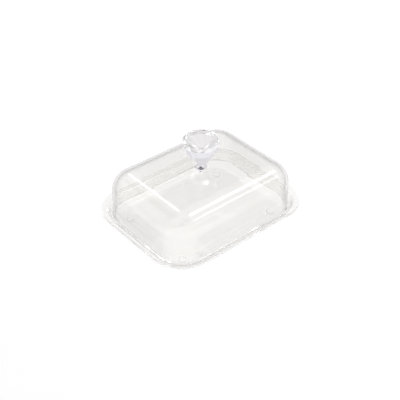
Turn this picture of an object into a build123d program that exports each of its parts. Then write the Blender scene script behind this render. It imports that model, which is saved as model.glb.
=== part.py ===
"""Clear butter dish: a shallow flanged tray, a domed lid that rests in it, and a faceted knob
screwed to the lid.  Millimetres, +Z up, the long side along X, feet standing on Z = 0."""

import os

from build123d import *

os.makedirs("parts", exist_ok=True)

# ---- tray ---------------------------------------------------------------------------------
TRAY_LENGTH = 165.0        # over the flange, along X
TRAY_WIDTH = 133.0         # over the flange, along Y
TRAY_CORNER = 32.6         # plan corner radius at the flange edge
RIM_TOP = 16.8             # flange top above the table
RIM_THICKNESS = 2.0
RIM_ROUND = 0.8            # rounding of the flange's upper edges
UNDER_ROUND = 0.4          # rounding under the flange
FLANGE_WIDTH = 6.5         # flat of the flange, edge to mouth
WALL_ANGLE = 20.5          # lean of the tray wall from upright
SKIRT_INSET = 5.4          # outside of the wall under the flange, in from the edge
BELLY_ROUND = 12.0         # outside turn from wall to underside
UNDERSIDE = 2.0            # underside of the floor above the table
FLOOR_TOP = 4.2
LEDGE_TOP = 9.6            # ledge the lid stands on
WELL_INSET = 12.4          # inner edge of the ledge, in from the flange edge
WELL_ROUND = 8.0           # turn from the well wall to the floor
LEDGE_ROUND = 0.3          # ledge corners

FOOT_DIAMETER = 7.0
FOOT_SPACING_X = 106.0
FOOT_SPACING_Y = 75.4
FOOT_ROUND = 0.7

# ---- lid ----------------------------------------------------------------------------------
LID_LENGTH = 145.5         # at the bottom edge
LID_WIDTH = 113.0
LID_CORNER = 24.0
LID_HEIGHT = 46.8
LID_DRAFT = 2.0
LID_WALL = 2.2
LID_TOP_ROUND = 20.5       # outside turn from wall to crown
LID_EDGE_ROUND = 0.5
LID_TOP = LEDGE_TOP + LID_HEIGHT

# ---- knob: rings of a twelve-sided cut, each (height above the lid, radius over the corners) ----
KNOB_SIDES = 12
KNOB_HEIGHT = 30.3
TABLE_RADIUS = 17.0
GIRDLE_TOP = 26.8
GIRDLE_RADIUS = 17.4
GIRDLE_BOTTOM = 20.6
GIRDLE_FOOT_RADIUS = 16.0
SHOULDER_HEIGHT = 17.0
SHOULDER_RADIUS = 13.5
WAIST_HEIGHT = 3.4
WAIST_RADIUS = 4.3
STAR_DEPTH = 0.6           # how far the in-between crown facets cut in at the table
STAR_REACH = 34.8          # radius their planes reach at the lid
BASE_RADIUS = 5.6          # round foot of the knob
BASE_THICKNESS = 1.2
BASE_SAG = 0.4             # hollow of the flare between foot and waist

# ---- knob screw ---------------------------------------------------------------------------
SCREW_DIAMETER = 2.9
SCREW_REACH = 6.0          # into the knob, above the lid
SCREW_TIP = 1.2            # length of the pointed end
TIP_INSET = 0.725          # how far the pointed end draws in
HEAD_DIAMETER = 5.6
HEAD_HEIGHT = 2.0
HEAD_ROUND = 0.9
RECESS_SPAN = 3.2          # cross recess, over its arms
RECESS_WIDTH = 0.8
RECESS_DEPTH = 1.1
LID_HOLE = 3.3
KNOB_BORE = 3.0
BORE_CLEAR = 0.5           # bore past the tip of the screw

LEVEL = 0.001              # how near an edge must lie to a height to be on it


def tray_outline(inset):
    """Plan of the tray at a distance in from the flange edge."""
    RectangleRounded(TRAY_LENGTH - 2 * inset, TRAY_WIDTH - 2 * inset, TRAY_CORNER - inset)


def edges_at(part, height):
    """Edges lying wholly at one height."""
    return part.edges().filter_by_position(Axis.Z, height - LEVEL, height + LEVEL)


def solid_dome(inset):
    """The lid's form as a solid, drawn in from the outside by a wall thickness."""
    with BuildPart() as block:
        with BuildSketch(Plane.XY.offset(LEDGE_TOP)):
            RectangleRounded(LID_LENGTH - 2 * inset, LID_WIDTH - 2 * inset, LID_CORNER - inset)
        extrude(amount=LID_HEIGHT - inset, taper=LID_DRAFT)
        fillet(edges_at(block, LID_TOP - inset), LID_TOP_ROUND - inset)
    return block.part


with BuildPart() as tray:
    # leaning wall with a rounded belly, closed underneath
    with BuildSketch(Plane.XY.offset(RIM_TOP - RIM_THICKNESS)):
        tray_outline(SKIRT_INSET)
    extrude(amount=UNDERSIDE - RIM_TOP + RIM_THICKNESS, taper=WALL_ANGLE)
    fillet(edges_at(tray, UNDERSIDE), BELLY_ROUND)
    # flat flange round the top
    with BuildSketch(Plane.XY.offset(RIM_TOP - RIM_THICKNESS)):
        tray_outline(0)
    extrude(amount=RIM_THICKNESS)
    # mouth down to the ledge, then the well down to the floor
    with BuildSketch(Plane.XY.offset(RIM_TOP)):
        tray_outline(FLANGE_WIDTH)
    extrude(amount=LEDGE_TOP - RIM_TOP, taper=WALL_ANGLE, mode=Mode.SUBTRACT)
    with BuildSketch(Plane.XY.offset(LEDGE_TOP)):
        tray_outline(WELL_INSET)
    extrude(amount=FLOOR_TOP - LEDGE_TOP, taper=WALL_ANGLE, mode=Mode.SUBTRACT)
    fillet(edges_at(tray, FLOOR_TOP), WELL_ROUND)
    fillet(edges_at(tray, LEDGE_TOP), LEDGE_ROUND)
    fillet(edges_at(tray, RIM_TOP), RIM_ROUND)
    fillet(edges_at(tray, RIM_TOP - RIM_THICKNESS), UNDER_ROUND)
    # four small round feet
    with BuildSketch(Plane.XY.offset(UNDERSIDE)):
        with GridLocations(FOOT_SPACING_X, FOOT_SPACING_Y, 2, 2):
            Circle(FOOT_DIAMETER / 2)
    extrude(amount=-UNDERSIDE)
    fillet(edges_at(tray, 0), FOOT_ROUND)

dome = solid_dome(0)
hollow = solid_dome(LID_WALL)

with BuildPart() as lid:
    # even-walled shell, open underneath, with a rounded bottom edge
    add(dome)
    add(hollow, mode=Mode.SUBTRACT)
    fillet(edges_at(lid, LEDGE_TOP), LID_EDGE_ROUND)
    # clearance hole for the knob screw
    with BuildSketch(Plane.XY.offset(LID_TOP)):
        Circle(LID_HOLE / 2)
    extrude(amount=-LID_WALL, mode=Mode.SUBTRACT)

knob_rings = [
    (WAIST_HEIGHT, WAIST_RADIUS),
    (SHOULDER_HEIGHT, SHOULDER_RADIUS),
    (GIRDLE_BOTTOM, GIRDLE_FOOT_RADIUS),
    (GIRDLE_TOP, GIRDLE_RADIUS),
    (KNOB_HEIGHT, TABLE_RADIUS),
]

with BuildPart() as knob:
    # rows of flat facets between one ring and the next
    for (low, low_radius), (high, high_radius) in zip(knob_rings, knob_rings[1:]):
        with BuildSketch(Plane.XY.offset(LID_TOP + low)):
            RegularPolygon(low_radius, KNOB_SIDES)
        with BuildSketch(Plane.XY.offset(LID_TOP + high)):
            RegularPolygon(high_radius, KNOB_SIDES)
        loft(ruled=True)
    # second set of crown facets, turned half a step
    with BuildSketch(Plane.XY.offset(LID_TOP)):
        RegularPolygon(STAR_REACH, KNOB_SIDES, rotation=180 / KNOB_SIDES)
    with BuildSketch(Plane.XY.offset(LID_TOP + KNOB_HEIGHT)):
        RegularPolygon(TABLE_RADIUS - STAR_DEPTH, KNOB_SIDES, rotation=180 / KNOB_SIDES)
    loft(ruled=True, mode=Mode.INTERSECT)
    # round foot flaring out of the waist
    with BuildSketch(Plane.XZ):
        with BuildLine():
            Polyline(
                (0, LID_TOP + WAIST_HEIGHT),
                (0, LID_TOP),
                (BASE_RADIUS, LID_TOP),
                (BASE_RADIUS, LID_TOP + BASE_THICKNESS),
            )
            SagittaArc(
                (BASE_RADIUS, LID_TOP + BASE_THICKNESS),
                (WAIST_RADIUS, LID_TOP + WAIST_HEIGHT),
                BASE_SAG,
            )
            Line((WAIST_RADIUS, LID_TOP + WAIST_HEIGHT), (0, LID_TOP + WAIST_HEIGHT))
        make_face()
    revolve(axis=Axis.Z)
    # blind bore for the screw
    with BuildSketch(Plane.XY.offset(LID_TOP)):
        Circle(KNOB_BORE / 2)
    extrude(amount=SCREW_REACH + BORE_CLEAR, mode=Mode.SUBTRACT)

with BuildPart() as knob_screw:
    # pan head under the crown of the lid
    with BuildSketch(Plane.XY.offset(LID_TOP - LID_WALL)):
        Circle(HEAD_DIAMETER / 2)
    extrude(amount=-HEAD_HEIGHT)
    fillet(edges_at(knob_screw, LID_TOP - LID_WALL - HEAD_HEIGHT), HEAD_ROUND)
    # shank up through the lid, pointed at the end
    with BuildSketch(Plane.XY.offset(LID_TOP - LID_WALL)):
        Circle(SCREW_DIAMETER / 2)
    extrude(amount=LID_WALL + SCREW_REACH)
    chamfer(edges_at(knob_screw, LID_TOP + SCREW_REACH), SCREW_TIP, TIP_INSET)
    # cross recess
    with BuildSketch(Plane.XY.offset(LID_TOP - LID_WALL - HEAD_HEIGHT)):
        Rectangle(RECESS_SPAN, RECESS_WIDTH)
        Rectangle(RECESS_WIDTH, RECESS_SPAN)
    extrude(amount=RECESS_DEPTH, mode=Mode.SUBTRACT)

for name, body in (("tray", tray), ("lid", lid), ("knob", knob), ("knob_screw", knob_screw)):
    body.part.label = name
    export_step(body.part, f"parts/{name}.step")
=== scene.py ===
# Clear moulded butter dish: a flanged tray on small feet, a domed lid that stands in it,
# and a cut-look knob held on the lid by a short screw.
import math

import bmesh
import bpy
from mathutils import Matrix, Vector


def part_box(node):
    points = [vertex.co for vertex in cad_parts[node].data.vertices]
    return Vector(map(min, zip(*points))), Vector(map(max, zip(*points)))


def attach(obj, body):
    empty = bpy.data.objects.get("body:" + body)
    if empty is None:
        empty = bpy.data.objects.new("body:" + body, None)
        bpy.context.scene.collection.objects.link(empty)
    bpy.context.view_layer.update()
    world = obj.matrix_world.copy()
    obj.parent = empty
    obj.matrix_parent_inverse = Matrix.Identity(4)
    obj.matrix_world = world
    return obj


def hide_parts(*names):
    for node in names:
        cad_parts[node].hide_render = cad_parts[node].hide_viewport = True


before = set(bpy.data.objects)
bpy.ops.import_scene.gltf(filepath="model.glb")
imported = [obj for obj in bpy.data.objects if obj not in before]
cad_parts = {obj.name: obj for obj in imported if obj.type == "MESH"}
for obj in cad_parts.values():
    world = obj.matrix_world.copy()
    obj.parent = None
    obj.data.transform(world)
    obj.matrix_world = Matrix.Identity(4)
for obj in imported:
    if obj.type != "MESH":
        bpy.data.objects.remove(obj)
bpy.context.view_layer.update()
mm = 0.001
airGap = 0.02        # millimetres left between clear faces that touch
weld = 0.01 * mm     # points nearer than this are one point
sharpTurn = 35       # degrees, where a surface stops being shaded as one


def roundedLine(corners, stepDegrees=3.0, fewest=3):
    # an open outline through (x, y, round) corners, each one turned with an arc of its round
    line = []
    for i, (x, y, radius) in enumerate(corners):
        here = Vector((x, y))
        if radius == 0 or i in (0, len(corners) - 1):
            line.append(here)
            continue
        before = (Vector(corners[i - 1][:2]) - here).normalized()
        after = (Vector(corners[i + 1][:2]) - here).normalized()
        half = before.angle(after) / 2
        centre = here + (before + after).normalized() * (radius / math.sin(half))
        turn = math.pi - 2 * half
        steps = max(fewest, math.ceil(math.degrees(turn) / stepDegrees))
        first = here + before * (radius / math.tan(half)) - centre
        last = here + after * (radius / math.tan(half)) - centre
        for k in range(steps + 1):
            line.append(centre + first.slerp(last, k / steps) * radius)
    return line


def outlineObject(name, points):
    # a flat poly curve in millimetres turned to metres, for a node tree to read
    curve = bpy.data.curves.new(name, "CURVE")
    curve.dimensions = "3D"
    spline = curve.splines.new("POLY")
    spline.points.add(len(points) - 1)
    for point, (x, y) in zip(spline.points, points):
        point.co = (x * mm, y * mm, 0, 1)
    shape = bpy.data.objects.new(name, curve)
    bpy.context.scene.collection.objects.link(shape)
    return shape


def newTree(name, inputs):
    # a Geometry Nodes tree with named inputs and one geometry output
    tree = bpy.data.node_groups.new(name, "GeometryNodeTree")
    for label, kind, value in inputs:
        socket = tree.interface.new_socket(name=label, in_out="INPUT", socket_type=kind)
        if value is not None:
            socket.default_value = value
    tree.interface.new_socket(name="Geometry", in_out="OUTPUT", socket_type="NodeSocketGeometry")
    return tree, tree.nodes.new("NodeGroupInput"), tree.nodes.new("NodeGroupOutput")


def addNode(tree, kind, links=None, **settings):
    # a node with its settings, and its inputs either linked or given a value
    node = tree.nodes.new(kind)
    for key, value in settings.items():
        setattr(node, key, value)
    for label, source in (links or {}).items():
        socket = node.inputs[label]
        if isinstance(source, bpy.types.NodeSocket):
            tree.links.new(source, socket)
        else:
            socket.default_value = source
    return node


def grow(name, tree, values, material):
    # runs a tree on an empty mesh and keeps the result as a plain mesh
    holder = bpy.data.objects.new(name, bpy.data.meshes.new(name))
    bpy.context.scene.collection.objects.link(holder)
    modifier = holder.modifiers.new("grow", "NODES")
    modifier.node_group = tree
    for item in tree.interface.items_tree:
        if item.item_type == "SOCKET" and item.in_out == "INPUT" and item.name in values:
            modifier[item.identifier] = values[item.name]
    bpy.context.view_layer.update()
    grown = bpy.data.meshes.new_from_object(holder.evaluated_get(bpy.context.evaluated_depsgraph_get()))
    holder.modifiers.remove(modifier)
    holder.data = grown
    grown.materials.clear()
    grown.materials.append(material)
    return holder


def sweptShellTree():
    # a closed shell: a section carried round a rounded rectangle, shut by a flat above and below
    tree, given, result = newTree("sweptShell", [
        ("Length", "NodeSocketFloat", 0.1), ("Width", "NodeSocketFloat", 0.1),
        ("Corner", "NodeSocketFloat", 0.01), ("Corner Steps", "NodeSocketInt", 24),
        ("Side Steps", "NodeSocketInt", 4), ("Section", "NodeSocketObject", None),
        ("First Height", "NodeSocketFloat", 0.0), ("Last Height", "NodeSocketFloat", 0.0),
        ("Material", "NodeSocketMaterial", None),
    ])
    oblong = addNode(tree, "GeometryNodeCurvePrimitiveQuadrilateral",
                     {"Width": given.outputs["Length"], "Height": given.outputs["Width"]})
    split = addNode(tree, "GeometryNodeSubdivideCurve",
                    {"Curve": oblong.outputs["Curve"], "Cuts": given.outputs["Side Steps"]})
    rounded = addNode(tree, "GeometryNodeFilletCurve",
                      {"Curve": split.outputs["Curve"], "Count": given.outputs["Corner Steps"],
                       "Radius": given.outputs["Corner"]}, mode="POLY")
    upright = addNode(tree, "GeometryNodeSetCurveNormal", {"Curve": rounded.outputs["Curve"]}, mode="Z_UP")
    section = addNode(tree, "GeometryNodeObjectInfo", {"Object": given.outputs["Section"]})
    wall = addNode(tree, "GeometryNodeCurveToMesh",
                   {"Curve": upright.outputs["Curve"], "Profile Curve": section.outputs["Geometry"]})
    parts = [wall.outputs["Mesh"]]
    flat = addNode(tree, "GeometryNodeFillCurve", {"Curve": rounded.outputs["Curve"]}, mode="NGONS")
    turned = addNode(tree, "GeometryNodeFlipFaces", {"Mesh": flat.outputs["Mesh"]})
    for label, face in (("First Height", flat), ("Last Height", turned)):  # up, then down
        lift = addNode(tree, "ShaderNodeCombineXYZ", {"Z": given.outputs[label]})
        cap = addNode(tree, "GeometryNodeTransform",
                      {"Geometry": face.outputs["Mesh"], "Translation": lift.outputs["Vector"]})
        parts.append(cap.outputs["Geometry"])
    joined = addNode(tree, "GeometryNodeJoinGeometry")
    for part in parts:
        tree.links.new(part, joined.inputs["Geometry"])
    welded = addNode(tree, "GeometryNodeMergeByDistance",
                     {"Geometry": joined.outputs["Geometry"], "Distance": weld})
    real = addNode(tree, "GeometryNodeRealizeInstances", {"Geometry": welded.outputs["Geometry"]})
    dressed = addNode(tree, "GeometryNodeSetMaterial",
                      {"Geometry": real.outputs["Geometry"], "Material": given.outputs["Material"]})
    tree.links.new(dressed.outputs["Geometry"], result.inputs["Geometry"])
    return tree


sweptShell = sweptShellTree()


def sweep(name, length, width, corner, outline, material):
    # outline is the section from the upper flat to the lower one, as (distance in from the edge, height)
    inner = outline[0][0]
    section = outlineObject(name + "Section", [(inner - x, -y) for x, y in outline])
    made = grow(name, sweptShell, {
        "Length": (length - 2 * inner) * mm, "Width": (width - 2 * inner) * mm,
        "Corner": (corner - inner) * mm, "Section": section, "First Height": outline[0][1] * mm,
        "Last Height": outline[-1][1] * mm, "Material": material}, material)
    bpy.data.objects.remove(section)
    return made


def lathe(name, outline, material, steps=48, height=0.0):
    # turns an outline about the upright axis; it starts and ends on the axis
    shape = bmesh.new()
    rings = []
    for radius, level in outline:
        place = (level + height) * mm
        if radius == 0:
            rings.append([shape.verts.new((0, 0, place))])
            continue
        turns = (k * 2 * math.pi / steps for k in range(steps))
        rings.append([shape.verts.new((radius * mm * math.cos(a), radius * mm * math.sin(a), place))
                      for a in turns])
    for low, high in zip(rings, rings[1:]):
        for k in range(steps):
            n = k + 1
            face = [low[k % len(low)], low[n % len(low)], high[n % len(high)], high[k % len(high)]]
            face = list(dict.fromkeys(face))  # a triangle where a ring is one point
            if len(face) > 2:
                shape.faces.new(face).smooth = True
    bmesh.ops.recalc_face_normals(shape, faces=shape.faces)
    mesh = bpy.data.meshes.new(name)
    shape.to_mesh(mesh)
    shape.free()
    mesh.materials.append(material)
    made = bpy.data.objects.new(name, mesh)
    bpy.context.scene.collection.objects.link(made)
    return made


def combine(body, tool, operation):
    # joins a tool to a body, or cuts it out, and throws the tool away
    modifier = body.modifiers.new("combine", "BOOLEAN")
    modifier.operation = operation
    modifier.object = tool
    modifier.solver = "EXACT"
    bpy.context.view_layer.update()
    mesh = bpy.data.meshes.new_from_object(body.evaluated_get(bpy.context.evaluated_depsgraph_get()))
    body.modifiers.remove(modifier)
    body.data = mesh
    bpy.data.objects.remove(tool)


def softenTurns(body):
    # smooth over gentle turns, crisp over sharp ones
    shape = bmesh.new()
    shape.from_mesh(body.data)
    for edge in shape.edges:
        edge.smooth = len(edge.link_faces) == 2 and edge.calc_face_angle(0) < math.radians(sharpTurn)
    for face in shape.faces:
        face.smooth = True
    shape.to_mesh(body.data)
    shape.free()


def newGroup(name, inputs, outputs):
    # a shader node group with named inputs and outputs
    group = bpy.data.node_groups.new(name, "ShaderNodeTree")
    for label, kind, value in inputs:
        group.interface.new_socket(name=label, in_out="INPUT", socket_type=kind).default_value = value
    for label, kind in outputs:
        group.interface.new_socket(name=label, in_out="OUTPUT", socket_type=kind)
    return group, group.nodes.new("NodeGroupInput"), group.nodes.new("NodeGroupOutput")


polish = {
    # the wiping hairs are noise drawn out across the wipe, and turned a little
    "hairStretch": (1.0, 0.06, 0.35), "hairTurn": (0, 0, 0.5), "hairDetail": 2.0, "hairFrom": 0.62,
    "hairTo": 0.78, "smearDetail": 4.0, "smearGrit": 0.6, "smearFrom": 0.5, "smearTo": 0.75,
    "rippleDetail": 1.0,
}


def polishMarksGroup(p):
    # hairline wiping marks, faint smears, and the slow ripple of a moulded face
    group, given, result = newGroup("polishMarks", [
        ("Vector", "NodeSocketVector", (0, 0, 0)), ("Mark Scale", "NodeSocketFloat", 900.0),
        ("Smear Scale", "NodeSocketFloat", 28.0), ("Ripple Scale", "NodeSocketFloat", 45.0),
        ("Gloss", "NodeSocketFloat", 0.01), ("Mark Rough", "NodeSocketFloat", 0.03),
        ("Smear Rough", "NodeSocketFloat", 0.03), ("Ripple Share", "NodeSocketFloat", 0.8),
    ], [("Roughness", "NodeSocketFloat"), ("Height", "NodeSocketFloat"), ("Smear", "NodeSocketFloat")])
    stretched = addNode(group, "ShaderNodeMapping", {
        "Vector": given.outputs["Vector"], "Scale": p["hairStretch"], "Rotation": p["hairTurn"]})
    hair = addNode(group, "ShaderNodeTexNoise", {
        "Vector": stretched.outputs["Vector"], "Scale": given.outputs["Mark Scale"],
        "Detail": p["hairDetail"]})
    marks = addNode(group, "ShaderNodeMapRange", {
        "Value": hair.outputs["Fac"], "From Min": p["hairFrom"], "From Max": p["hairTo"]})
    cloud = addNode(group, "ShaderNodeTexNoise", {
        "Vector": given.outputs["Vector"], "Scale": given.outputs["Smear Scale"],
        "Detail": p["smearDetail"], "Roughness": p["smearGrit"]})
    smear = addNode(group, "ShaderNodeMapRange", {
        "Value": cloud.outputs["Fac"], "From Min": p["smearFrom"], "From Max": p["smearTo"]})
    slow = addNode(group, "ShaderNodeTexNoise", {
        "Vector": given.outputs["Vector"], "Scale": given.outputs["Ripple Scale"],
        "Detail": p["rippleDetail"]})
    markRough = addNode(group, "ShaderNodeMath", {
        0: marks.outputs["Result"], 1: given.outputs["Mark Rough"], 2: given.outputs["Gloss"]},
        operation="MULTIPLY_ADD")
    rough = addNode(group, "ShaderNodeMath", {
        0: smear.outputs["Result"], 1: given.outputs["Smear Rough"], 2: markRough.outputs["Value"]},
        operation="MULTIPLY_ADD")
    height = addNode(group, "ShaderNodeMath", {
        0: slow.outputs["Fac"], 1: given.outputs["Ripple Share"]}, operation="MULTIPLY")
    group.links.new(rough.outputs["Value"], result.inputs["Roughness"])
    group.links.new(height.outputs["Value"], result.inputs["Height"])
    group.links.new(smear.outputs["Result"], result.inputs["Smear"])
    return group


polishMarks = polishMarksGroup(polish)


def paintedShadeGroup():
    # painted shade: below a height the colour is darkened by the shade colour, standing in for the shade
    # seen in a thick piece's lower part; a thin piece, left with the plain white shade colour, keeps its own
    # colour
    group, given, result = newGroup("paintedShade", [
        ("Vector", "NodeSocketVector", (0, 0, 0)), ("Color", "NodeSocketColor", (1, 1, 1, 1)),
        ("Shade Colour", "NodeSocketColor", (1, 1, 1, 1)), ("Below", "NodeSocketFloat", 0.0),
        ("Fade", "NodeSocketFloat", 0.001),
    ], [("Color", "NodeSocketColor")])
    split = addNode(group, "ShaderNodeSeparateXYZ", {"Vector": given.outputs["Vector"]})
    top = addNode(group, "ShaderNodeMath", {0: given.outputs["Below"], 1: given.outputs["Fade"]},
                  operation="ADD")
    clear = addNode(group, "ShaderNodeMapRange", {
        "Value": split.outputs["Z"], "From Min": given.outputs["Below"], "From Max": top.outputs["Value"]})
    # painted shade: the colour multiplied by the shade colour
    darkened = addNode(group, "ShaderNodeMix", {
        "Factor": 1.0, "A": given.outputs["Color"], "B": given.outputs["Shade Colour"]},
        data_type="RGBA", blend_type="MULTIPLY")
    mixed = addNode(group, "ShaderNodeMix", {
        "Factor": clear.outputs["Result"], "A": darkened.outputs["Result"], "B": given.outputs["Color"]},
        data_type="RGBA")
    group.links.new(mixed.outputs["Result"], result.inputs["Color"])
    return group


paintedShade = paintedShadeGroup()


def placeGroup(tree, group, values):
    # a group in a material, with its own values
    node = tree.nodes.new("ShaderNodeGroup")
    node.node_tree = group
    for label, value in values.items():
        node.inputs[label].default_value = value
    return node


def newMaterial(name):
    # a material with nothing in its tree but the output
    material = bpy.data.materials.new(name)
    material.use_nodes = True
    material.node_tree.nodes.clear()
    return material, material.node_tree, material.node_tree.nodes.new("ShaderNodeOutputMaterial")


def clearAcrylic(name, look):
    # clear moulded acrylic, greyer where it is seen edge on, with painted shade below a height where the
    # look gives one; lamps shine through it
    material, tree, output = newMaterial(name)
    place = tree.nodes.new("ShaderNodeTexCoord")
    marks = placeGroup(tree, polishMarks, look["marks"])
    tree.links.new(place.outputs["Object"], marks.inputs["Vector"])
    slant = addNode(tree, "ShaderNodeLayerWeight")
    edge = addNode(tree, "ShaderNodeMath", {0: slant.outputs["Facing"], 1: look["edgePower"]},
                   operation="POWER")
    face = addNode(tree, "ShaderNodeMix", {"Factor": marks.outputs["Smear"]}, data_type="RGBA")
    face.inputs["A"].default_value = (*look["tint"], 1)
    face.inputs["B"].default_value = (*look["smearTint"], 1)
    # painted shade: darker below the height that the look gives
    lowShade = placeGroup(tree, paintedShade, look["lowShade"])
    tree.links.new(place.outputs["Object"], lowShade.inputs["Vector"])
    tree.links.new(face.outputs["Result"], lowShade.inputs["Color"])
    tint = addNode(tree, "ShaderNodeMix", {"Factor": edge.outputs["Value"]}, data_type="RGBA")
    tree.links.new(lowShade.outputs["Color"], tint.inputs["A"])
    tint.inputs["B"].default_value = (*look["edgeTint"], 1)
    bump = addNode(tree, "ShaderNodeBump", {
        "Height": marks.outputs["Height"], "Strength": look["rippleStrength"],
        "Distance": look["rippleDepth"]})
    body = addNode(tree, "ShaderNodeBsdfPrincipled", {
        "Base Color": tint.outputs["Result"], "Roughness": marks.outputs["Roughness"],
        "Normal": bump.outputs["Normal"], "Transmission Weight": 1.0, "IOR": look["bending"]})
    through = addNode(tree, "ShaderNodeBsdfTransparent", {"Color": (*look["shadowTint"], 1)})
    path = tree.nodes.new("ShaderNodeLightPath")
    unseen = addNode(tree, "ShaderNodeMath", {
        0: path.outputs["Is Shadow Ray"], 1: path.outputs["Is Diffuse Ray"]}, operation="MAXIMUM")
    mix = addNode(tree, "ShaderNodeMixShader", {"Fac": unseen.outputs["Value"]})
    tree.links.new(body.outputs["BSDF"], mix.inputs[1])
    tree.links.new(through.outputs["BSDF"], mix.inputs[2])
    tree.links.new(mix.outputs["Shader"], output.inputs["Surface"])
    return material


def turnedSteel(name, look):
    # plain stainless with fine turning marks
    material, tree, output = newMaterial(name)
    place = tree.nodes.new("ShaderNodeTexCoord")
    marks = placeGroup(tree, polishMarks, look["marks"])
    tree.links.new(place.outputs["Object"], marks.inputs["Vector"])
    tint = addNode(tree, "ShaderNodeMix", {"Factor": marks.outputs["Smear"]}, data_type="RGBA")
    tint.inputs["A"].default_value = (*look["tint"], 1)
    tint.inputs["B"].default_value = (*look["smearTint"], 1)
    bump = addNode(tree, "ShaderNodeBump", {
        "Height": marks.outputs["Height"], "Strength": look["rippleStrength"],
        "Distance": look["rippleDepth"]})
    body = addNode(tree, "ShaderNodeBsdfPrincipled", {
        "Base Color": tint.outputs["Result"], "Roughness": marks.outputs["Roughness"],
        "Normal": bump.outputs["Normal"], "Metallic": 1.0})
    tree.links.new(body.outputs["BSDF"], output.inputs["Surface"])
    return material


acrylicLook = {
    "tint": (0.980, 0.974, 0.963), "smearTint": (0.972, 0.966, 0.955), "bending": 1.49,
    "rippleStrength": 0.25, "rippleDepth": 0.05 * mm,
    "shadowTint": (0.992, 0.992, 0.992), "edgeTint": (0.05, 0.05, 0.05), "edgePower": 2.4,
    "marks": {"Gloss": 0.0, "Mark Rough": 0.02, "Smear Rough": 0.015}, "lowShade": {},
}
clearTray = clearAcrylic("clearTray", acrylicLook | {
    "edgeTint": (0.35, 0.35, 0.35), "rippleStrength": 0.16})
clearLid = clearAcrylic("clearLid", acrylicLook)
clearKnob = clearAcrylic("clearKnob", acrylicLook | {
    "rippleStrength": 0.1, "tint": (1.0, 0.998, 0.995), "smearTint": (0.990, 0.988, 0.985),
    "edgeTint": (0.75, 0.75, 0.77),
    # painted shade: the knob is coloured darker below this height, for the shade seen through its lower
    # facets
    "lowShade": {"Shade Colour": (0.81, 0.80, 0.845, 1), "Below": 82.5 * mm, "Fade": 0.6 * mm}})
screwSteel = turnedSteel("screwSteel", {
    "tint": (0.20, 0.20, 0.21), "smearTint": (0.14, 0.14, 0.15), "rippleStrength": 0.3,
    "rippleDepth": 0.02 * mm,
    "marks": {"Mark Scale": 2600.0, "Smear Scale": 500.0, "Ripple Scale": 1500.0,
              "Gloss": 0.22, "Mark Rough": 0.14, "Smear Rough": 0.12},
})
print("materials mixed")


trayLow, trayHigh = (Vector(corner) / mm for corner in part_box("tray"))
tray = {
    "length": trayHigh.x - trayLow.x, "width": trayHigh.y - trayLow.y, "corner": 32.6,
    "rimTop": trayHigh.z, "rimThickness": 2.0, "rimRound": 0.8, "underRound": 0.4, "flange": 6.5,
    "lean": math.radians(20.5), "skirtInset": 5.4, "bellyRound": 12.0, "underside": 2.0,
    "floorTop": 4.2, "ledgeTop": 9.6, "ledgeInset": 12.4, "ledgeRound": 0.3, "wellRound": 8.0,
    "flatInset": 20.8,  # where the outline stops and the flats above and below take over
    "footDiameter": 7.0, "footRound": 0.7, "footSpacing": (106.0, 75.4),
    "footRoot": 1.0,    # how far a foot runs up into the floor
    "footTurn": 15.0,   # degrees between points on a foot's round
}


def traySection(t):
    # from the floor out over the ledge, mouth and flange, and back under the belly
    lean = math.tan(t["lean"])
    floorCorner = t["ledgeInset"] + (t["ledgeTop"] - t["floorTop"]) * lean
    mouthFoot = t["flange"] + (t["rimTop"] - t["ledgeTop"]) * lean
    skirtTop = t["rimTop"] - t["rimThickness"]
    bellyCorner = t["skirtInset"] + (skirtTop - t["underside"]) * lean
    return roundedLine([
        (t["flatInset"], t["floorTop"], 0), (floorCorner, t["floorTop"], t["wellRound"]),
        (t["ledgeInset"], t["ledgeTop"], t["ledgeRound"]), (mouthFoot, t["ledgeTop"], t["ledgeRound"]),
        (t["flange"], t["rimTop"], t["rimRound"]), (0, t["rimTop"], t["rimRound"]),
        (0, skirtTop, t["underRound"]), (t["skirtInset"], skirtTop, t["underRound"]),
        (bellyCorner, t["underside"], t["bellyRound"]), (t["flatInset"], t["underside"], 0),
    ])


def feetTree():
    # one foot set out on a rectangle and grown into the underside of the tray
    tree, given, result = newTree("trayFeet", [
        ("Tray", "NodeSocketObject", None), ("Foot", "NodeSocketObject", None),
        ("Spacing Long", "NodeSocketFloat", 0.1), ("Spacing Short", "NodeSocketFloat", 0.1),
        ("Material", "NodeSocketMaterial", None),
    ])
    places = addNode(tree, "GeometryNodeMeshGrid",
                     {"Size X": given.outputs["Spacing Long"], "Size Y": given.outputs["Spacing Short"],
                      "Vertices X": 2, "Vertices Y": 2})
    foot = addNode(tree, "GeometryNodeObjectInfo", {"Object": given.outputs["Foot"]})
    feet = addNode(tree, "GeometryNodeInstanceOnPoints",
                   {"Points": places.outputs["Mesh"], "Instance": foot.outputs["Geometry"]})
    real = addNode(tree, "GeometryNodeRealizeInstances", {"Geometry": feet.outputs["Instances"]})
    dish = addNode(tree, "GeometryNodeObjectInfo", {"Object": given.outputs["Tray"]})
    union = addNode(tree, "GeometryNodeMeshBoolean", operation="UNION", solver="EXACT")
    tree.links.new(dish.outputs["Geometry"], union.inputs["Mesh 2"])
    tree.links.new(real.outputs["Geometry"], union.inputs["Mesh 2"])
    whole = addNode(tree, "GeometryNodeRealizeInstances", {"Geometry": union.outputs["Mesh"]})
    dressed = addNode(tree, "GeometryNodeSetMaterial",
                      {"Geometry": whole.outputs["Geometry"], "Material": given.outputs["Material"]})
    tree.links.new(dressed.outputs["Geometry"], result.inputs["Geometry"])
    return tree


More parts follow.
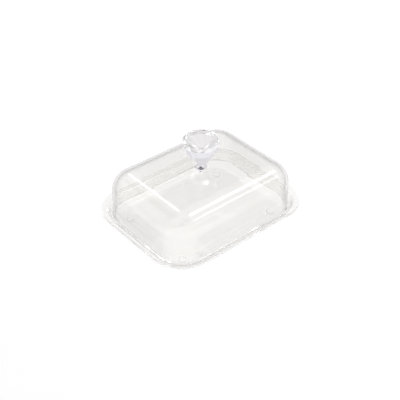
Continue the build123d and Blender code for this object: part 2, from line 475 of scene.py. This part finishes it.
def makeTray(t):
    # the dish in one sweep, then its four feet
    dish = sweep("dishShell", t["length"], t["width"], t["corner"], traySection(t), clearTray)
    r, root = t["footDiameter"] / 2, t["underside"] + t["footRoot"]
    foot = lathe("foot", roundedLine([
        (0, 0, 0), (r, 0, t["footRound"]), (r, root, 0), (0, root, 0)], t["footTurn"]), clearTray)
    footed = grow("trayMoulding", feetTree(), {
        "Tray": dish, "Foot": foot, "Spacing Long": t["footSpacing"][0] * mm,
        "Spacing Short": t["footSpacing"][1] * mm, "Material": clearTray}, clearTray)
    for spent in (dish, foot):
        bpy.data.objects.remove(spent)
    softenTurns(footed)
    return footed


trayMoulding = makeTray(tray)
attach(trayMoulding, "base")
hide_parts("tray")
print("tray moulded")


lidLow, lidHigh = (Vector(corner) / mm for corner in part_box("lid"))
lid = {
    "length": 145.5, "width": 113.0, "corner": 24.0, "bottom": lidLow.z + airGap,
    "top": lidHigh.z - airGap, "draft": math.radians(2.0), "wall": 2.2, "crownRound": 20.5,
    "edgeRound": 0.5,
    "flatInset": 22.8,  # where the outline stops and the flats of the crown take over
    "screwHole": 3.3, "holeSteps": 32,
    "drillPast": 1.0,   # how far the drill runs past each face
}


def lidSection(c):
    # from the crown down the outside, round the bottom edge and back up the inside
    lean = math.tan(c["draft"])
    roof = c["top"] - c["wall"]
    return roundedLine([
        (c["flatInset"], c["top"], 0), ((c["top"] - c["bottom"]) * lean, c["top"], c["crownRound"]),
        (0, c["bottom"], c["edgeRound"]), (c["wall"], c["bottom"], c["edgeRound"]),
        (c["wall"] + (roof - c["bottom"]) * lean, roof, c["crownRound"] - c["wall"]),
        (c["flatInset"], roof, 0),
    ])


def makeLid(c):
    # the cover in one sweep, drilled for the screw
    cover = sweep("lidMoulding", c["length"], c["width"], c["corner"], lidSection(c), clearLid)
    r, high, low = c["screwHole"] / 2, c["top"] + c["drillPast"], c["top"] - c["wall"] - c["drillPast"]
    drill = lathe("drill", [(0, high), (r, high), (r, low), (0, low)], clearLid, steps=c["holeSteps"])
    combine(cover, drill, "DIFFERENCE")
    softenTurns(cover)
    return cover


lidMoulding = makeLid(lid)
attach(lidMoulding, "cover")
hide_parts("lid")
print("lid moulded")


knobLow, knobHigh = (Vector(corner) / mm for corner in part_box("knob"))
knobHeight = knobHigh.z - knobLow.z
knob = {
    "sides": 12, "seat": knobLow.z,
    # each row of facets runs between two rings: (height above the seat, radius over the corners)
    "rings": [(3.4, 4.3), (17.0, 13.5), (20.6, 16.0), (26.8, 17.4), (knobHeight, 17.0)],
    # the half-turned row: (height above the seat, distance from the axis to the flat)
    "star": [(0.0, 33.61), (knobHeight, 16.0)],
    "edgeBreak": 0.12, "breakSteps": 2, "breakFullness": 0.7,
    "leastTurn": 0.05,  # radians, where two facets count as two
    # metres: how near the cut a point lies on it, and what is joined after cutting and after breaking
    "onCut": 1e-7, "joinCuts": 1e-6, "joinBreaks": 2e-5,
    "footRadius": 5.6, "footThickness": 1.2, "footUnderRound": 0.2, "footTopRound": 0.4,
    # the neck turns below the waist, and runs up inside the cut, a little slimmer
    "neckDrop": 1.0, "neckRound": 1.2, "neckRise": 0.6, "neckShare": 0.98, "neckTurn": 12.0,
    "bore": 3.0, "boreDepth": 6.5, "boreSteps": 32,
    "drillPast": 1.0,   # how far the drill starts below the seat
}


def makeKnob(cut):
    # rings of flat facets first, then the half-turned row that meets them round the table
    gem = bmesh.new()
    step = 2 * math.pi / cut["sides"]
    turns = [k * step for k in range(cut["sides"])]
    rings = [[gem.verts.new(Vector((radius * math.cos(a), radius * math.sin(a), cut["seat"] + height)) * mm)
              for a in turns] for height, radius in cut["rings"]]
    gem.faces.new(reversed(rings[0]))
    gem.faces.new(rings[-1])
    for low, high in zip(rings, rings[1:]):
        for k in range(cut["sides"]):
            n = (k + 1) % cut["sides"]
            gem.faces.new((low[k], low[n], high[n], high[k]))
    (lowHeight, lowReach), (highHeight, highReach) = cut["star"]
    for a in turns:
        outward = Vector((math.cos(a), math.sin(a), 0))
        normal = outward * (highHeight - lowHeight) + Vector((0, 0, lowReach - highReach))
        point = (outward * highReach + Vector((0, 0, cut["seat"] + highHeight))) * mm
        sliced = bmesh.ops.bisect_plane(
            gem, geom=gem.verts[:] + gem.edges[:] + gem.faces[:], plane_co=point,
            plane_no=normal.normalized(), clear_outer=True, dist=cut["onCut"])
        rim = [item for item in sliced["geom_cut"] if isinstance(item, bmesh.types.BMEdge)]
        bmesh.ops.contextual_create(gem, geom=rim)
    bmesh.ops.remove_doubles(gem, verts=gem.verts, dist=cut["joinCuts"])
    sharp = [edge for edge in gem.edges if edge.calc_face_angle(0) > cut["leastTurn"]]
    bmesh.ops.bevel(gem, geom=sharp, offset=cut["edgeBreak"] * mm, segments=cut["breakSteps"],
                    profile=cut["breakFullness"], clamp_overlap=True, affect="EDGES")
    bmesh.ops.remove_doubles(gem, verts=gem.verts, dist=cut["joinBreaks"])
    bmesh.ops.recalc_face_normals(gem, faces=gem.faces)
    mesh = bpy.data.meshes.new("knobCut")
    gem.to_mesh(mesh)
    gem.free()
    mesh.materials.append(clearKnob)
    stone = bpy.data.objects.new("knobCut", mesh)
    bpy.context.scene.collection.objects.link(stone)
    waist, waistRadius = cut["rings"][0]
    base, neckTop = cut["footRadius"], waist + cut["neckRise"]
    neck = lathe("neck", roundedLine([
        (0, 0, 0), (base, 0, cut["footUnderRound"]), (base, cut["footThickness"], cut["footTopRound"]),
        (waistRadius, waist - cut["neckDrop"], cut["neckRound"]),
        (waistRadius * cut["neckShare"], neckTop, 0), (0, neckTop, 0)], cut["neckTurn"]),
        clearKnob, height=cut["seat"])
    combine(stone, neck, "UNION")
    r, low, high = cut["bore"] / 2, -cut["drillPast"], cut["boreDepth"]
    drill = lathe("drill", [(0, low), (r, low), (r, high), (0, high)], clearKnob,
                  steps=cut["boreSteps"], height=cut["seat"])
    combine(stone, drill, "DIFFERENCE")
    return stone


knobCut = makeKnob(knob)
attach(knobCut, "cover")
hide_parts("knob")
print("knob cut")


screwLow, screwHigh = (Vector(corner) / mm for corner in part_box("knob_screw"))
screw = {
    "headDiameter": 5.6, "headHeight": 2.0, "headRound": 0.9, "core": 2.1, "crest": 2.9, "pitch": 1.1,
    "bottom": screwLow.z, "tip": screwHigh.z, "tipLength": 1.4, "tipRadius": 0.15, "edgeRound": 0.1,
    "turnSteps": 36,    # points round the head and shank
    "roundTurn": 12.0,  # degrees between points on a round
    "recessSpan": 3.2, "recessWidth": 0.8, "recessDepth": 1.1,
}


def threadTree():
    # a ridge that winds up the shank
    tree, given, result = newTree("screwThread", [
        ("Core Radius", "NodeSocketFloat", 0.001), ("Ridge", "NodeSocketFloat", 0.0004),
        ("Turns", "NodeSocketFloat", 5.0), ("Height", "NodeSocketFloat", 0.006),
        ("Start", "NodeSocketFloat", 0.0), ("Steps Per Turn", "NodeSocketInt", 24),
        ("Ridge Sides", "NodeSocketInt", 3), ("Material", "NodeSocketMaterial", None),
    ])
    helix = addNode(tree, "GeometryNodeCurveSpiral",
                    {"Resolution": given.outputs["Steps Per Turn"], "Rotations": given.outputs["Turns"],
                     "Height": given.outputs["Height"], "Start Radius": given.outputs["Core Radius"],
                     "End Radius": given.outputs["Core Radius"]})
    ridge = addNode(tree, "GeometryNodeCurvePrimitiveCircle",
                    {"Resolution": given.outputs["Ridge Sides"], "Radius": given.outputs["Ridge"]})
    wound = addNode(tree, "GeometryNodeCurveToMesh",
                    {"Curve": helix.outputs["Curve"], "Profile Curve": ridge.outputs["Curve"],
                     "Fill Caps": True})
    lift = addNode(tree, "ShaderNodeCombineXYZ", {"Z": given.outputs["Start"]})
    placed = addNode(tree, "GeometryNodeTransform",
                     {"Geometry": wound.outputs["Mesh"], "Translation": lift.outputs["Vector"]})
    real = addNode(tree, "GeometryNodeRealizeInstances", {"Geometry": placed.outputs["Geometry"]})
    dressed = addNode(tree, "GeometryNodeSetMaterial",
                      {"Geometry": real.outputs["Geometry"], "Material": given.outputs["Material"]})
    tree.links.new(dressed.outputs["Geometry"], result.inputs["Geometry"])
    return tree


def makeScrew(s):
    # head and shank turned together, then the recess cut and the thread wound on
    head, core = s["headDiameter"] / 2, s["core"] / 2
    shoulder = s["bottom"] + s["headHeight"]
    body = lathe("knobScrew", roundedLine([
        (0, s["bottom"], 0), (head, s["bottom"], s["headRound"]), (head, shoulder, s["edgeRound"]),
        (core, shoulder, s["edgeRound"]), (core, s["tip"] - s["tipLength"], s["edgeRound"]),
        (s["tipRadius"], s["tip"], 0), (0, s["tip"], 0)], s["roundTurn"]), screwSteel, steps=s["turnSteps"])
    # the cross recess in the head
    arm, half, depth = s["recessSpan"] / 2, s["recessWidth"] / 2, s["recessDepth"]
    quarter = [(arm, -half), (arm, half), (half, half)]
    cross = [(x * c - y * d, x * d + y * c)
             for c, d in ((1, 0), (0, 1), (-1, 0), (0, -1)) for x, y in quarter]
    tool = bmesh.new()
    floor = tool.faces.new([tool.verts.new(Vector((x, y, s["bottom"] - depth)) * mm) for x, y in cross])
    raised = bmesh.ops.extrude_face_region(tool, geom=[floor])["geom"]
    bmesh.ops.translate(tool, verts=[v for v in raised if isinstance(v, bmesh.types.BMVert)],
                        vec=(0, 0, 2 * depth * mm))
    bmesh.ops.recalc_face_normals(tool, faces=tool.faces)
    driver = bpy.data.objects.new("driver", bpy.data.meshes.new("driver"))
    tool.to_mesh(driver.data)
    tool.free()
    bpy.context.scene.collection.objects.link(driver)
    combine(body, driver, "DIFFERENCE")
    rise = s["tip"] - s["tipLength"] - shoulder - s["pitch"]
    ridge = grow("thread", threadTree(), {
        "Core Radius": core * mm, "Ridge": (s["crest"] - s["core"]) / 2 * mm, "Turns": rise / s["pitch"],
        "Height": rise * mm, "Start": (shoulder + s["pitch"] / 2) * mm,
        "Material": screwSteel}, screwSteel)
    combine(body, ridge, "UNION")
    softenTurns(body)
    return body


knobScrew = makeScrew(screw)
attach(knobScrew, "cover")
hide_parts("knob_screw")
print("screw threaded")


studio = {
    "floorSize": 40.0, "floorColour": (0.97, 0.97, 0.97), "grainScale": 400.0, "grainShade": 0.995,
    # the air overhead, at the level of the eye, and in the dark openings: (towards, cosine of its reach)
    "overhead": (0.60, 0.60, 0.60), "level": (0.90, 0.90, 0.90), "dark": 0.04,
    "openings": [((-0.32, 0.47, 0.82), 0.95), ((-0.46, -0.53, 0.71), 0.98), ((0.0, -0.45, 0.89), 0.975)],
    "openingEdge": 1 / 3,  # share of an opening's reach that its soft edge takes
    "middle": Vector((0, 0, 0.05)),  # the point that the softboxes face
    # towards each softbox from the dish, how far, its width and length, the axis it lies along, and its glow
    "lamps": {
        "rightHigh": ((0.55, -0.20, 0.78), 0.90, (0.20, 0.36), (1, 0, 0), 3.5),
        "rightLow": ((0.54, -0.61, 0.58), 0.90, (0.14, 0.36), (1, 0, 0), 2.0),
        "back": ((0.17, 0.65, 0.735), 0.90, (0.13, 0.50), (0, 1, 0), 3.0),
    },
    "skyFill": 0.97, "skyAngle": math.radians(100),
    "lookAt": Vector((-0.0062, -0.0061, 0.0260)), "azimuth": -40.25, "elevation": 37.25,
    "distance": 0.7215, "lens": 70.5, "sensor": 36.0, "bounces": 160, "clearBounces": 32,
}


def setStudio(s):
    # the pale floor, the softboxes, the air around them and the camera
    floorMesh = bpy.data.meshes.new("floor")
    half = s["floorSize"] / 2
    floorMesh.from_pydata([(-half, -half, 0), (half, -half, 0), (half, half, 0), (-half, half, 0)],
                          [], [(0, 1, 2, 3)])
    floor = bpy.data.objects.new("floor", floorMesh)
    bpy.context.scene.collection.objects.link(floor)
    paper, tree, output = newMaterial("paleFloor")
    grain = addNode(tree, "ShaderNodeTexNoise", {"Scale": s["grainScale"]})
    shade = addNode(tree, "ShaderNodeMix", {"Factor": grain.outputs["Fac"]}, data_type="RGBA")
    shade.inputs["A"].default_value = (*s["floorColour"], 1)
    shade.inputs["B"].default_value = (*(c * s["grainShade"] for c in s["floorColour"]), 1)
    matte = addNode(tree, "ShaderNodeBsdfDiffuse", {"Color": shade.outputs["Result"]})
    tree.links.new(matte.outputs["BSDF"], output.inputs["Surface"])
    floorMesh.materials.append(paper)

    for name, (toward, distance, size, along, glow) in s["lamps"].items():
        lamp = bpy.data.lights.new(name, "AREA")
        lamp.shape = "RECTANGLE"
        lamp.size, lamp.size_y = size
        lamp.energy = glow * math.pi * size[0] * size[1]
        holder = bpy.data.objects.new(name, lamp)
        away = Vector(toward).normalized()
        holder.location = s["middle"] + away * distance
        length = (Vector(along) - away * away.dot(Vector(along))).normalized()
        holder.rotation_euler = Matrix((length.cross(away), length, away)).transposed().to_euler()
        holder.visible_camera = False
        bpy.context.scene.collection.objects.link(holder)

    # a broad even light on the paper, kept out of the reflections
    sky = bpy.data.lights.new("sky", "SUN")
    sky.energy = s["skyFill"]
    sky.angle = s["skyAngle"]
    skyHolder = bpy.data.objects.new("sky", sky)
    skyHolder.visible_glossy = False
    bpy.context.scene.collection.objects.link(skyHolder)

    # the air fades from level to overhead, and is dark in the openings
    world = bpy.data.worlds.new("studioAir")
    world.use_nodes = True
    air = world.node_tree
    toward = air.nodes.new("ShaderNodeTexCoord")
    split = addNode(air, "ShaderNodeSeparateXYZ", {"Vector": toward.outputs["Generated"]})
    fade = addNode(air, "ShaderNodeMix", {"Factor": split.outputs["Z"]}, data_type="RGBA")
    fade.inputs["A"].default_value = (*s["level"], 1)
    fade.inputs["B"].default_value = (*s["overhead"], 1)
    air.links.new(fade.outputs["Result"], air.nodes["Background"].inputs["Color"])
    glow = 1.0
    for way, reach in s["openings"]:
        near = addNode(air, "ShaderNodeVectorMath", {
            0: toward.outputs["Generated"], 1: Vector(way).normalized()}, operation="DOT_PRODUCT")
        shut = addNode(air, "ShaderNodeMapRange", {
            "Value": near.outputs["Value"], "From Min": reach,
            "From Max": reach + (1 - reach) * s["openingEdge"], "To Min": 1.0, "To Max": s["dark"]})
        dimmed = addNode(air, "ShaderNodeMath", {0: shut.outputs["Result"], 1: glow}, operation="MULTIPLY")
        glow = dimmed.outputs["Value"]
    air.links.new(glow, air.nodes["Background"].inputs["Strength"])
    bpy.context.scene.world = world

    camera = bpy.data.cameras.new("camera")
    camera.lens = s["lens"]
    camera.sensor_width = s["sensor"]
    a, e = math.radians(s["azimuth"]), math.radians(s["elevation"])
    back = Vector((math.sin(a) * math.cos(e), -math.cos(a) * math.cos(e), math.sin(e)))
    stand = bpy.data.objects.new("camera", camera)
    stand.location = s["lookAt"] + back * s["distance"]
    stand.rotation_euler = back.to_track_quat("Z", "Y").to_euler()
    bpy.context.scene.collection.objects.link(stand)
    bpy.context.scene.camera = stand
    bpy.context.scene.view_settings.view_transform = "Standard"
    cycles = bpy.context.scene.cycles
    # light runs a long way along the walls before it leaves them
    cycles.max_bounces = cycles.transmission_bounces = cycles.glossy_bounces = s["bounces"]
    cycles.transparent_max_bounces = s["clearBounces"]


setStudio(studio)
print("studio set")
